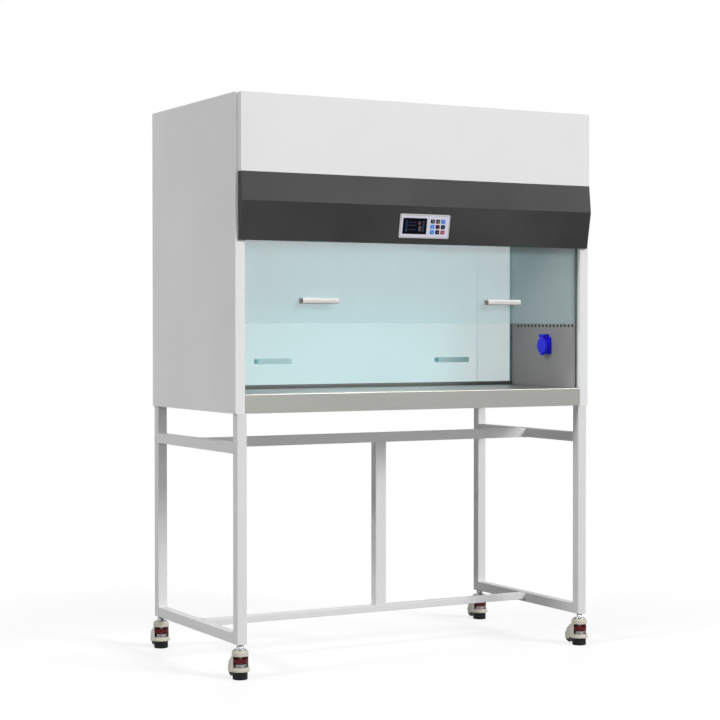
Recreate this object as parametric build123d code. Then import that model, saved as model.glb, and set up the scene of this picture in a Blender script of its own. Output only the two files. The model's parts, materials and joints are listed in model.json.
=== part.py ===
from build123d import *
from math import cos, pi, sin
import os

# Double-sided laminar flow cabinet on a wheeled tube stand.
# Millimetres. X runs left to right, Y from the front to the back, Z up from the floor.

# Cabinet body
body_width = 1300.0
body_depth = 655.0
base_z = 806.0            # underside of the body, top of the stand
worktop_z = 866.0
fascia_low_z = 1331.0
fascia_bend_z = 1450.0
fascia_top_z = 1538.0
rear_opening_z = 1372.0   # top of the opening on the rear side
roof_z = 1776.0
wall = 32.0               # thickness of a hollow side wall
sheet = 1.5
post_lip = 14.0
edge_round = 2.0
front_half_width = 640.0  # top cover and fascia, set in from the side panels
cover_reach = 20.0        # how far the top cover stands in front of the posts
bend_reach = 30.0
fascia_low_reach = 8.0

# Sliding windows
glass = 5.0
front_glass_y = -303.0    # middle of the pane
rear_glass_y = 88.0
front_glass_height = 500.0
rear_glass_height = 522.0
glass_half_width = 634.0
front_glass_z = 1080.0    # lower edge, half open
rear_glass_z = 868.0      # lower edge, closed
glass_clearance = 1.0
channel_width = 20.0
channel_depth = 28.0
channel_top_z = 1700.0
handle_length = 125.0
handle_height = 18.0
handle_reach = 27.0
front_handle_x = (-361.0, 314.0)
rear_handle_x = (-314.0, 380.0)
front_handle_rise = 60.0  # above the pane's lower edge
rear_handle_rise = 78.0

# Balance weights, ropes and pulleys in the side walls
rope_x = 629.0
rope_radius = 1.0
rope_turn_radius = 22.0
pulley_radius = 25.0
pulley_width = 10.0
pulley_z = 1738.0
stud_radius = 4.0
running_gap = 0.05
weight_x = 634.0
weight_size = (22.0, 56.0, 420.0)
front_weight_z = 1000.0   # lower end with the front pane half open
rear_weight_z = 1240.0    # lower end with the rear pane closed

# Filters, fan and lamps
filter_half_width = 612.0
filter_front_y = -288.0
filter_back_y = 72.0
filter_low_z = 1376.0
deck_z = 1480.0
hepa_height = 69.0
fan_y = -108.0
fan_z = 1632.0
wheel_radius = 90.0
wheel_width = 150.0
blade_count = 28
fan_width = 190.0
lamp_radius = 13.0
lamp_length = 900.0
lamp_z = 1356.0
lamp_y = (-270.0, -222.0)  # work lamp, ultraviolet lamp

# Control panel on the fascia
panel_size = (184.0, 77.0, 5.0)
panel_rise = -3.0         # from the middle of the fascia's lower slope
screen_size = (88.0, 51.0, 2.0)
screen_at = (-37.5, 0.5)
key_size = (14.0, 12.0, 6.0)
key_columns = (27.5, 47.0, 66.5)
key_rows = (17.0, 0.0, -17.0)
key_gap = 0.3
key_proud = 1.8

# Socket on the right inner wall
socket_y = -132.0
socket_z = 1005.0
socket_flange = (5.0, 58.0, 58.0)
socket_radius = 25.0
socket_boss = 12.0
lid_radius = 28.0
lid_thickness = 5.0
hinge_rise = 34.0
hinge_radius = 5.0
pin_radius = 1.5

# Mains inlet on the back
inlet_x = 444.0
inlet_z = 1684.0
inlet_opening = (28.0, 48.0)

# Stand
tube = 32.0
tube_wall = 2.0
stand_inset = 6.0  # legs stand in from the side panels' faces
leg_low_z = 106.0
upper_rail_z = 684.0
low_cross_height = 22.0
post_width = 40.0
post_x = 29.0

# Levelling casters
pad_radius = 23.0
pad_height = 24.0
collar_radius = 19.0
foot_stud_radius = 7.0
foot_stud_top_z = 76.0
thumb_radius = 24.0
thumb_low_z = 51.0
thumb_height = 12.0
thumb_teeth = 14
housing_radius = 27.0
rim_radius = 30.0
housing_low_z = 24.5
rim_top_z = 34.0
window_z = (38.0, 71.8)
cavity_radius = 24.8
cavity_top_z = 72.0
housing_top_z = 89.0
trail = 47.0
roller_radius = 22.0
roller_width = 18.0
roller_z = 25.0
axle_radius = 4.0
swivel_radius = 19.0
bearing_z = 86.3
stem_radius = 6.0
nut_z = (93.0, 103.0)

# Worked out from the above
front_y = -body_depth / 2
back_y = body_depth / 2
side_x = body_width / 2
inner_x = side_x - wall
leg_x = side_x - stand_inset - tube / 2
leg_y = body_depth / 2 - tube / 2
lid_x = inner_x - socket_flange[0] - socket_boss - 0.5
hinge_x = lid_x - 1.0
hinge_z = socket_z + hinge_rise
rear_reach = leg_y + trail + roller_radius
origin_y = (-front_y + bend_reach - rear_reach) / 2   # centres the footprint on Y = 0


def box(x, y, z):
    """Box from three (low, high) spans."""
    size = [high - low for low, high in (x, y, z)]
    centre = [(high + low) / 2 for low, high in (x, y, z)]
    return Pos(*centre) * Box(*size)


def both_sides(shape):
    return Compound([shape, mirror(shape, about=Plane.YZ)])


def rod(radius, start, end):
    """Round bar between two points."""
    start, end = Vector(*start), Vector(*end)
    along = end - start
    return extrude(Plane(start, z_dir=along) * Circle(radius), amount=along.length)


def square_tube(x, y, z, along):
    """Hollow section filling three spans, open at both ends of the given axis."""
    spans = [x, y, z]
    outer = box(*spans)
    axis = {"X": Axis.X, "Y": Axis.Y, "Z": Axis.Z}[along]
    outer = fillet(outer.edges().filter_by(axis), edge_round)
    cut = [span if name == along else (span[0] + tube_wall, span[1] - tube_wall)
           for name, span in zip("XYZ", spans)]
    return outer - box(*cut)


# ---------------------------------------------------------------- cabinet shell

def side_panel(side):
    """Folded outer skin with a lipped post at the front and the back."""
    height = roof_z - sheet - base_z
    skin = Pos(side_x - wall / 2, 0) * Rectangle(wall, body_depth)
    skin = fillet(skin.vertices().group_by(Axis.X)[-1], edge_round)
    hollow_depth = body_depth - 2 * sheet
    skin -= Pos(side_x - wall / 2 - sheet, 0) * Rectangle(wall, hollow_depth)
    for lip_y in (front_y + post_lip / 2, back_y - post_lip / 2):
        skin += Pos(inner_x + sheet / 2, lip_y) * Rectangle(sheet, post_lip)
    panel = Pos(0, 0, base_z) * extrude(skin, amount=height)
    for glass_y in (front_glass_y, rear_glass_y):
        stud_y = glass_y + rope_turn_radius
        start = (side_x - sheet, stud_y, pulley_z)
        end = (rope_x - pulley_width, stud_y, pulley_z)
        panel += rod(stud_radius, start, end)
    return panel if side > 0 else mirror(panel, about=Plane.YZ)


def inner_wall(side):
    """Stainless linings of one side: the work chamber's, with suction holes, and the rear bay's."""
    hole_radius, hole_pitch, hole_count = 4.0, 21.8, 16
    first_hole_y, hole_z, top_z = -287.0, 1073.0, 1500.0
    front = front_glass_y + channel_width / 2 + glass_clearance
    back = rear_glass_y - channel_width / 2 - glass_clearance
    plate = box((inner_x, inner_x + sheet), (front, back), (worktop_z, top_z))
    for index in range(hole_count):
        hole_y = first_hole_y + hole_radius + index * hole_pitch
        plate -= rod(hole_radius, (inner_x - 1, hole_y, hole_z), (side_x, hole_y, hole_z))
    if side > 0:
        plate -= rod(socket_radius - 2, (inner_x - 1, socket_y, socket_z),
                     (side_x, socket_y, socket_z))
    bay = (rear_glass_y + channel_width / 2 + glass_clearance, back_y - post_lip - glass_clearance)
    linings = Compound([plate, box((inner_x, inner_x + sheet), bay, (worktop_z, top_z))])
    return linings if side > 0 else mirror(linings, about=Plane.YZ)


def sash_channels():
    """Four U-section guides that hold the edges of the two panes."""
    slot = glass + 2 * glass_clearance
    slot_depth = glass_half_width - inner_x + 2
    channels = []
    for glass_y in (front_glass_y, rear_glass_y):
        section = Pos(inner_x + channel_depth / 2, glass_y) * Rectangle(channel_depth, channel_width)
        section -= Pos(inner_x + slot_depth / 2, glass_y) * Rectangle(slot_depth, slot)
        channel = Pos(0, 0, base_z) * extrude(section, amount=channel_top_z - base_z)
        channels += [channel, mirror(channel, about=Plane.YZ)]
    return Compound(channels)


def roof_panel():
    """Top sheet with louvre slots over the pre-filter."""
    slot_length, slot_width, slot_pitch, slot_count = 190.0, 8.0, 20.0, 10
    panel = box((-side_x, side_x), (front_y, back_y), (roof_z - sheet, roof_z))
    for slot_x in (-slot_length / 2 - 15, slot_length / 2 + 15):
        for index in range(slot_count):
            slot_y = fan_y + (index - (slot_count - 1) / 2) * slot_pitch
            slot = SlotOverall(slot_length, slot_width)
            panel -= Pos(slot_x, slot_y, roof_z - 2 * sheet) * extrude(slot, amount=3 * sheet)
    return panel


def front_cover():
    """White pan above the fascia, open at the back."""
    width = (-front_half_width, front_half_width)
    pan = box(width, (front_y - cover_reach, front_y), (fascia_top_z, roof_z))
    pan = fillet(pan.edges().filter_by(Axis.Z).group_by(Axis.Y)[0], edge_round)
    return offset(pan, amount=-sheet, openings=pan.faces().sort_by(Axis.Y)[-1])


def slope_plane(rise=0.0):
    """Plane on the fascia's lower slope, facing the user."""
    low = Vector(0, front_y - fascia_low_reach, fascia_low_z)
    high = Vector(0, front_y - bend_reach, fascia_bend_z)
    up = (high - low).normalized()
    return Plane((low + high) * 0.5 + up * rise, x_dir=(1, 0, 0), z_dir=Vector(1, 0, 0).cross(up))


def fascia():
    """Dark two-facet front pan with a cut-out for the controller."""
    outline = Polyline(
        (front_y, fascia_low_z), (front_y - fascia_low_reach, fascia_low_z),
        (front_y - bend_reach, fascia_bend_z), (front_y - cover_reach, fascia_top_z),
        (front_y, fascia_top_z), close=True)
    section = Plane.YZ.offset(-front_half_width) * make_face(outline)
    pan = extrude(section, amount=2 * front_half_width)
    pan = offset(pan, amount=-sheet, openings=pan.faces().sort_by(Axis.Y)[-1])
    cut = Box(panel_size[0] - 24, panel_size[1] - 16, 8 * sheet)
    return pan - slope_plane(panel_rise) * cut


def rear_panel():
    """Back sheet whose lower fold closes the ceiling of the rear bay."""
    half = inner_x - glass_clearance / 2
    soffit_front = rear_glass_y + channel_width / 2 + glass_clearance
    low = rear_opening_z
    back = box((-half, half), (back_y - sheet, back_y), (low, roof_z - sheet))
    soffit = box((-half, half), (soffit_front, back_y), (low, low + sheet))
    width, height = inlet_opening
    inlet_cut = Pos(inlet_x, back_y, inlet_z) * Box(width, 8 * sheet, height)
    return back + soffit - inlet_cut


def power_inlet():
    """Panel-mount mains inlet with a recessed face and three pins."""
    width, height = inlet_opening
    flange_depth, housing_depth, floor, margin = 3.0, 25.0, 5.0, 2.5
    flange = Pos(0, flange_depth / 2, 0) * Box(width + 20, flange_depth, height + 28)
    flange = fillet(flange.edges().filter_by(Axis.Y), 6)
    housing = Pos(0, -housing_depth / 2, 0) * Box(width - 1, housing_depth, height - 1)
    recess_depth = housing_depth - floor + flange_depth + 1
    recess_y = flange_depth + 1 - recess_depth / 2
    recess = Pos(0, recess_y, 0) * Box(width - 2 * margin, recess_depth, height - 2 * margin)
    inlet = flange + housing - recess
    for pin_x, pin_z in ((3.0, 0.0), (-3.0, -10.0), (-3.0, 10.0)):
        inlet += Pos(pin_x, floor + 7 - housing_depth, pin_z) * Box(2, 14, 6)
    return Pos(inlet_x, back_y, inlet_z) * inlet


def base_pan():
    half = inner_x - glass_clearance
    depth = back_y - 2 * sheet
    return box((-half, half), (-depth, depth), (base_z, base_z + sheet))


def worktop():
    """Stainless work surface folded down at the front and the back."""
    half = inner_x - glass_clearance / 2
    block = box((-half, half), (front_y, back_y), (base_z, worktop_z))
    block = fillet(block.edges().filter_by(Axis.X).group_by(Axis.Z)[-1], 2 * edge_round)
    sides = block.faces().sort_by(Axis.X)
    openings = [sides[0], sides[-1], block.faces().sort_by(Axis.Z)[0]]
    return offset(block, amount=-sheet, openings=openings)


# ---------------------------------------------------------------- air handling

def filter_housing():
    """Open-bottomed box that holds the main filter, with the fan deck on top."""
    spans = ((-filter_half_width, filter_half_width), (filter_front_y, filter_back_y),
             (filter_low_z, deck_z))
    block = box(*spans)
    shell = offset(block, amount=-sheet, openings=block.faces().sort_by(Axis.Z)[0])
    outlet = box((-fan_width / 2 + 8, fan_width / 2 - 8), (fan_y - 10, fan_y + 105),
                 (deck_z - 2 * sheet, deck_z + 1))
    return shell - outlet


def hepa_filter():
    """Framed filter block with its pleat pack, seated in the housing."""
    gap, frame = 3.0, 20.0
    low = filter_low_z + 6
    x = (-filter_half_width + gap, filter_half_width - gap)
    y = (filter_front_y + gap, filter_back_y - gap)
    z = (low, low + hepa_height)
    inner = [(span[0] + frame, span[1] - frame) for span in (x, y)]
    case = box(x, y, z) - box(*inner, z)
    pack = box(*inner, (low + 6, low + hepa_height - 6))
    pleats = 24
    pitch = (inner[0][1] - inner[0][0]) / pleats
    for index in range(pleats):
        groove_x = inner[0][0] + (index + 0.5) * pitch
        groove = box((groove_x - 4, groove_x + 4), inner[1], (low, low + 14))
        pack -= groove
    return Compound([case, pack])


def diffuser_screen():
    """Slotted ceiling sheet under the filter."""
    columns, rows = 12, 4
    slot_length, slot_width = 80.0, 14.0
    low = filter_low_z - 2 * sheet
    plate = box((-filter_half_width, filter_half_width), (filter_front_y, filter_back_y),
                (low, low + sheet))
    middle_y = (filter_front_y + filter_back_y) / 2
    for column in range(columns):
        for row in range(rows):
            x = (column - (columns - 1) / 2) * 98.0
            y = middle_y + (row - (rows - 1) / 2) * 60.0
            plate -= Pos(x, y, low + sheet / 2) * Box(slot_length, slot_width, 3 * sheet)
    return plate


def pre_filter():
    """Shallow framed pad under the roof louvres."""
    frame = box((-230, 230), (fan_y - 120, fan_y + 120), (roof_z - sheet - 12, roof_z - sheet))
    return chamfer(frame.edges().group_by(Axis.Z)[0], 2)


def scroll_edge(grow):
    """Outline of the fan housing: a spiral that opens towards the outlet below."""
    turn = 1.5 * pi
    start_radius = wheel_radius + 14 + grow
    points = []
    for step in range(9):
        angle = turn * step / 8
        radius = start_radius * (1 + 0.055 * angle)
        points.append((radius * cos(angle), radius * sin(angle)))
    start, end = points[0], points[-1]
    floor = deck_z - fan_z
    outline = Spline(*points) + Polyline(end, (end[0], floor), (start[0], floor), start)
    return make_face(outline)


def blower_housing():
    """Sheet scroll with an inlet ring on each side and its outlet on the deck."""
    face_plane = Plane(origin=(-fan_width / 2, fan_y, fan_z), x_dir=(0, 1, 0), z_dir=(1, 0, 0))
    block = extrude(face_plane * scroll_edge(0.0), amount=fan_width)
    hollow_plane = face_plane.offset(2 * sheet)
    hollow = extrude(hollow_plane * scroll_edge(-2 * sheet), amount=fan_width - 4 * sheet)
    inlet_radius = wheel_radius * 0.82
    inlet = rod(inlet_radius, (-fan_width, fan_y, fan_z), (fan_width, fan_y, fan_z))
    return block - hollow - inlet


def blower_wheel():
    """Forward-curved fan wheel: hub disc, shaft, two end rings and curved blades."""
    half = wheel_width / 2
    ring_width, ring_depth, disc = 5.0, 14.0, 4.0
    inner = wheel_radius - ring_depth
    ring = Circle(wheel_radius) - Circle(inner)
    wheel = Pos(0, 0, -disc / 2) * extrude(Circle(wheel_radius), amount=disc)
    wheel += Pos(0, 0, -half) * extrude(ring, amount=ring_width)
    wheel += Pos(0, 0, half - ring_width) * extrude(ring, amount=ring_width)
    middle_radius = (inner + wheel_radius) / 2
    blade = Pos(middle_radius, 0) * Rectangle(ring_depth - 1, 1.6, rotation=28)
    for index in range(blade_count):
        turned = Rot(0, 0, 360 * index / blade_count) * blade
        wheel += Pos(0, 0, -half) * extrude(turned, amount=wheel_width)
    wheel += Pos(0, 0, -30) * extrude(Circle(14), amount=60)
    wheel += Pos(0, 0, -30) * extrude(Circle(6), amount=fan_width / 2 + 60)
    return Plane(origin=(0, fan_y, fan_z), x_dir=(0, 1, 0), z_dir=(1, 0, 0)) * wheel


def blower_motor():
    """Motor beside the scroll on a foot that stands on the deck."""
    start_x, length, radius = fan_width / 2 + 12, 120.0, 55.0
    can = rod(radius, (start_x, fan_y, fan_z), (start_x + length, fan_y, fan_z))
    can = fillet(can.edges().filter_by(GeomType.CIRCLE), 6)
    foot = box((start_x + 20, start_x + length - 20), (fan_y - 45, fan_y + 45),
               (deck_z, fan_z - radius + 14))
    shaft_hole = rod(6 + running_gap, (start_x - 1, fan_y, fan_z), (start_x + 40, fan_y, fan_z))
    return can + foot - shaft_hole


def tube_lamp(y):
    """Tube lamp hung from the ceiling by two end holders."""
    half = lamp_length / 2
    lamp = rod(lamp_radius, (-half, y, lamp_z), (half, y, lamp_z))
    holder_top = filter_low_z - 2 * sheet
    for side in (-1, 1):
        near, far = sorted((side * (half - 14), side * (half + 10)))
        lamp += box((near, far), (y - 15, y + 15), (lamp_z - 15, holder_top))
    return lamp


# ---------------------------------------------------------------- control panel

def control_bezel():
    """Bezel with a screen recess, key pockets and the electronics box behind it."""
    width, height, depth = panel_size
    bezel = Pos(0, 0, depth / 2) * Box(width, height, depth)
    bezel = fillet(bezel.edges().filter_by(Axis.Z), 5)
    bezel = chamfer(bezel.edges().group_by(Axis.Z)[-1], 1.5)
    bezel += Pos(0, 0, -9) * Box(width - 26, height - 18, 18)
    bezel -= Pos(*screen_at, depth - screen_size[2] / 2) * Box(*screen_size)
    pocket = (key_size[0] + 2 * key_gap, key_size[1] + 2 * key_gap, key_size[2])
    for x in key_columns:
        for y in key_rows:
            bezel -= Pos(x, y, depth - pocket[2] / 2) * Box(*pocket)
    return slope_plane(panel_rise) * bezel


def display_screen():
    recess_gap = 0.1
    width, height, depth = screen_size
    plate = Box(width - recess_gap, height - recess_gap, depth)
    return slope_plane(panel_rise) * Pos(*screen_at, panel_size[2] - depth / 2) * plate


def key(x, y):
    """Push key standing proud of the bezel."""
    width, height, depth = key_size
    cap = fillet(Box(width, height, depth).edges().filter_by(Axis.Z), 2.5)
    cap = chamfer(cap.edges().group_by(Axis.Z)[-1], 0.6)
    z = panel_size[2] - depth / 2 + key_proud
    return slope_plane(panel_rise) * Pos(x, y, z) * cap


# ---------------------------------------------------------------- mains socket

def socket_base():
    """Flange, round boss with its plug well, rear body and the lid's hinge lugs."""
    depth, width, height = socket_flange
    face_x = inner_x - depth
    base = box((face_x, inner_x), (socket_y - width / 2, socket_y + width / 2),
               (socket_z - height / 2, socket_z + height / 2))
    base = fillet(base.edges().filter_by(Axis.X), 7)
    at = (socket_y, socket_z)
    base += rod(socket_radius, (face_x - socket_boss, *at), (inner_x, *at))
    base += rod(socket_radius - 3, (inner_x, *at), (inner_x + 24, *at))
    base -= rod(socket_radius - 6, (face_x - socket_boss - 1, *at), (inner_x - 1, *at))
    for side in (-1, 1):
        pin_y = socket_y + side * 9.5
        base -= rod(2.4, (inner_x - 2, pin_y, socket_z), (inner_x + 18, pin_y, socket_z))
        near, far = sorted((socket_y + side * 10, socket_y + side * 14))
        base += box((hinge_x - hinge_radius, inner_x), (near, far),
                    (hinge_z - hinge_radius, hinge_z + hinge_radius))
        base += box((face_x - socket_boss, inner_x), (near, far), (socket_z + 22, hinge_z))
    return base + rod(pin_radius, (hinge_x, socket_y - 12, hinge_z),
                      (hinge_x, socket_y + 12, hinge_z))


def socket_lid():
    """Domed flap that hangs from the hinge over the plug well."""
    low_x = lid_x - lid_thickness
    at = (socket_y, socket_z)
    lid = rod(lid_radius, (low_x, *at), (lid_x, *at))
    lid = fillet(lid.edges().filter_by(GeomType.CIRCLE).group_by(Axis.X)[0], 3)
    lid += box((low_x, lid_x), (socket_y - 9, socket_y + 9), (socket_z, hinge_z))
    lid += box((low_x, lid_x), (socket_y - 7, socket_y + 7), (socket_z - 33, socket_z - 20))
    lid += rod(hinge_radius, (hinge_x, socket_y - 9.5, hinge_z), (hinge_x, socket_y + 9.5, hinge_z))
    return lid - rod(pin_radius + running_gap, (hinge_x, socket_y - 12, hinge_z),
                     (hinge_x, socket_y + 12, hinge_z))


# ---------------------------------------------------------------- sliding windows

def pane(glass_y, low_z, height):
    """Toughened glass pane with eased edges."""
    plate = box((-glass_half_width, glass_half_width),
                (glass_y - glass / 2, glass_y + glass / 2), (low_z, low_z + height))
    return chamfer(plate.edges().filter_by(Axis.X), 0.8)


def handle_pair(places, glass_y, low_z, facing):
    """Two J-section pulls bonded to the pane: back plate, top and a rounded front lip."""
    thickness = 2.5
    outer = Pos(-handle_reach / 2, handle_height / 2) * Rectangle(handle_reach, handle_height)
    outer = fillet(outer.vertices().group_by(Axis.X)[0], 5)
    hollow_width = handle_reach - 2 * thickness
    hollow_top = handle_height - thickness
    hollow = Pos(-handle_reach / 2, hollow_top / 2 - 1) * Rectangle(hollow_width, hollow_top + 2)
    section = outer - fillet(hollow.vertices().group_by(Axis.Y)[-1], 3)
    face_y = glass_y + facing * glass / 2
    handles = []
    for x in places:
        plane = Plane(origin=(x - handle_length / 2, face_y, low_z), x_dir=(0, 1, 0), z_dir=(1, 0, 0))
        bar = extrude(plane * section, amount=handle_length)
        if facing > 0:
            bar = mirror(bar, about=Plane.XZ.offset(-face_y))
        handles.append(bar)
    return Compound(handles)


def weights(glass_y, low_z):
    """Steel balance weight in each side wall, hung behind its pane."""
    middle_z = low_z + weight_size[2] / 2
    weight = Pos(weight_x, glass_y + 2 * rope_turn_radius, middle_z) * Box(*weight_size)
    return both_sides(chamfer(weight.edges().group_by(Axis.Z)[0], 4))


def pulleys(glass_y):
    """Grooved rope wheel on each side panel's stud."""
    half, root = pulley_width / 2, rope_turn_radius - rope_radius - 0.3
    bore = stud_radius + running_gap
    section = Polyline((bore, -half), (pulley_radius, -half), (root, -rope_radius),
                       (root, rope_radius), (pulley_radius, half), (bore, half), close=True)
    wheel = revolve(Plane.XZ * make_face(section), Axis.Z)
    at = Plane(origin=(rope_x, glass_y + rope_turn_radius, pulley_z), z_dir=(1, 0, 0))
    return both_sides(at * wheel)


def ropes(glass_y, glass_top_z, weight_top_z):
    """Wire rope from each pane corner over its pulley to the weight."""
    near, far = glass_y, glass_y + 2 * rope_turn_radius
    rope = rod(rope_radius, (rope_x, near, glass_top_z), (rope_x, near, pulley_z))
    rope += rod(rope_radius, (rope_x, far, weight_top_z), (rope_x, far, pulley_z))
    section = Plane(origin=(rope_x, near, pulley_z)) * Circle(rope_radius)
    turn_axis = Axis((rope_x, glass_y + rope_turn_radius, pulley_z), (-1, 0, 0))
    rope += revolve(section, turn_axis, 180)
    return both_sides(rope)


# ---------------------------------------------------------------- stand

def stand_legs():
    """Four square legs, each closed below by a plate for the caster's stem."""
    plate = 6.0
    legs = []
    for x in (-leg_x, leg_x):
        for y in (-leg_y, leg_y):
            half = tube / 2
            leg = square_tube((x - half, x + half), (y - half, y + half), (leg_low_z, base_z), "Z")
            inside = half - tube_wall
            leg += box((x - inside, x + inside), (y - inside, y + inside),
                       (leg_low_z, leg_low_z + plate))
            legs.append(leg - rod(stem_radius, (x, y, leg_low_z - 1), (x, y, leg_low_z + plate + 1)))
    return Compound(legs)


def stand_side_rails():
    """Front-to-back rails between the legs, two on each side."""
    reach = leg_y - tube / 2
    rails = []
    for low_z in (leg_low_z, upper_rail_z):
        span = (low_z, low_z + tube)
        rails.append(square_tube((leg_x - tube / 2, leg_x + tube / 2), (-reach, reach), span, "Y"))
    return Compound(rails + [mirror(rail, about=Plane.YZ) for rail in rails])


def stand_centre_frame():
    """Two long rails at mid-depth and the post between them."""
    half, reach = tube / 2, leg_x - tube / 2
    low_top_z = leg_low_z + tube
    upper = square_tube((-reach, reach), (-half, half), (upper_rail_z, upper_rail_z + tube), "X")
    lower = square_tube((-reach, reach), (-half, half), (low_top_z - low_cross_height, low_top_z), "X")
    post_span = (post_x - post_width / 2, post_x + post_width / 2)
    post = square_tube(post_span, (-half, half), (low_top_z, upper_rail_z), "Z")
    return Compound([upper, lower, post])


# ---------------------------------------------------------------- levelling casters

def caster_stems():
    """Threaded stem, swivel flange and hex nut under each leg."""
    stem = rod(swivel_radius - 0.1, (0, 0, bearing_z), (0, 0, nut_z[0] - 1))
    stem = chamfer(stem.edges().group_by(Axis.Z)[-1], 1.5)
    nut = Pos(0, 0, nut_z[0] - 1) * extrude(RegularPolygon(12, 6), amount=nut_z[1] - nut_z[0] + 1)
    stem += chamfer(nut.edges().group_by(Axis.Z)[-1], 1)
    stem += rod(stem_radius, (0, 0, nut_z[0]), (0, 0, leg_low_z + 6))
    return Compound([Pos(x, y, 0) * stem for x in (-leg_x, leg_x) for y in (-leg_y, leg_y)])


def caster_housing(x, y):
    """Die-cast swivel body: domed cup with a flared rim, thumbwheel window and roller fork."""
    dome_z, rim_edge = 77.0, 1.2
    wall_top = (housing_radius - 1.0, dome_z)
    outline = Line((0, housing_low_z), (rim_radius - rim_edge, housing_low_z))
    outline += Line(outline @ 1, (rim_radius, housing_low_z + rim_edge))
    outline += Line(outline @ 1, (rim_radius, rim_top_z - 4))
    outline += Spline((rim_radius, rim_top_z - 4), (housing_radius, rim_top_z),
                      tangents=((0, 1), (0, 1)))
    outline += Line((housing_radius, rim_top_z), wall_top)
    outline += Spline(wall_top, (swivel_radius + 2, housing_top_z), tangents=((0, 1), (-1, 0.15)))
    outline += Polyline((swivel_radius + 2, housing_top_z), (0, housing_top_z), (0, housing_low_z))
    cup = revolve(Plane.XZ * make_face(outline), Axis.Z)
    cheek, slot_half = 4.5, roller_width / 2 + 1.0
    fork_rounds = [Pos(trail, roller_z) * Circle(11), Pos(20, 56) * Circle(15),
                   Pos(trail, 46) * Circle(6)]
    fork_face = make_hull([edge for round_end in fork_rounds for edge in round_end.edges()])
    fork_plane = Plane(origin=(-slot_half - cheek, 0, 0), x_dir=(0, 1, 0), z_dir=(1, 0, 0))
    body = cup + extrude(fork_plane * fork_face, amount=2 * (slot_half + cheek))
    body -= rod(cavity_radius, (0, 0, 0), (0, 0, cavity_top_z))
    roller_space = roller_radius + 2.5
    body -= rod(roller_space, (-slot_half, trail, roller_z), (slot_half, trail, roller_z))
    body -= box((-slot_half, slot_half), (trail - roller_space, trail + 40), (0, roller_z))
    body -= box((-slot_half, slot_half), (cavity_radius - 4, trail), (0, roller_z + 15))
    window = box((-rim_radius, rim_radius), (-rim_radius, -4), window_z)
    body -= fillet(window.edges().filter_by(Axis.Y), 4)
    body -= rod(foot_stud_radius + running_gap, (0, 0, cavity_top_z - 1), (0, 0, 84.5))
    body -= rod(swivel_radius, (0, 0, bearing_z - 0.3), (0, 0, housing_top_z + 1))
    axle = rod(axle_radius, (-slot_half - 1, trail, roller_z), (slot_half + 1, trail, roller_z))
    return Pos(x, y, 0) * (body + axle)


def caster_roller(x, y):
    """Nylon wheel with a crowned tread and recessed faces."""
    half, bore = roller_width / 2, axle_radius + running_gap
    section = Polyline(
        (bore, -half), (9, -half), (9, -half + 2.5), (roller_radius - 4, -half + 2.5),
        (roller_radius - 3, -half), (roller_radius - 1, -half), (roller_radius, -half + 2),
        (roller_radius, half - 2), (roller_radius - 1, half), (roller_radius - 3, half),
        (roller_radius - 4, half - 2.5), (9, half - 2.5), (9, half), (bore, half), close=True)
    wheel = revolve(Plane.XZ * make_face(section), Axis.Z)
    return Plane(origin=(x, y + trail, roller_z), z_dir=(1, 0, 0)) * wheel


def levelling_foot(x, y):
    """Rubber pad, collar, threaded stud and notched thumbwheel that screw up and down together."""
    pad = extrude(Circle(pad_radius), amount=pad_height)
    pad = chamfer(pad.edges().group_by(Axis.Z)[0], 1.5)
    for groove_z in (6.0, 11.0, 16.0):
        ring = Circle(pad_radius + 1) - Circle(pad_radius - 1)
        pad -= Pos(0, 0, groove_z) * extrude(ring, amount=1.6)
    collar = rod(collar_radius, (0, 0, pad_height), (0, 0, thumb_low_z - 4))
    stud = rod(foot_stud_radius, (0, 0, thumb_low_z - 4), (0, 0, foot_stud_top_z))
    thumb = extrude(Circle(thumb_radius), amount=thumb_height)
    notch = extrude(Circle(2.6), amount=thumb_height)
    for index in range(thumb_teeth):
        angle = 2 * pi * (index + 0.5) / thumb_teeth
        thumb -= Pos(thumb_radius * cos(angle), thumb_radius * sin(angle), 0) * notch
    thumb = Pos(0, 0, thumb_low_z) * thumb
    return Pos(x, y, 0) * Compound([pad, collar + stud + thumb])


# ---------------------------------------------------------------- write the parts

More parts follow.
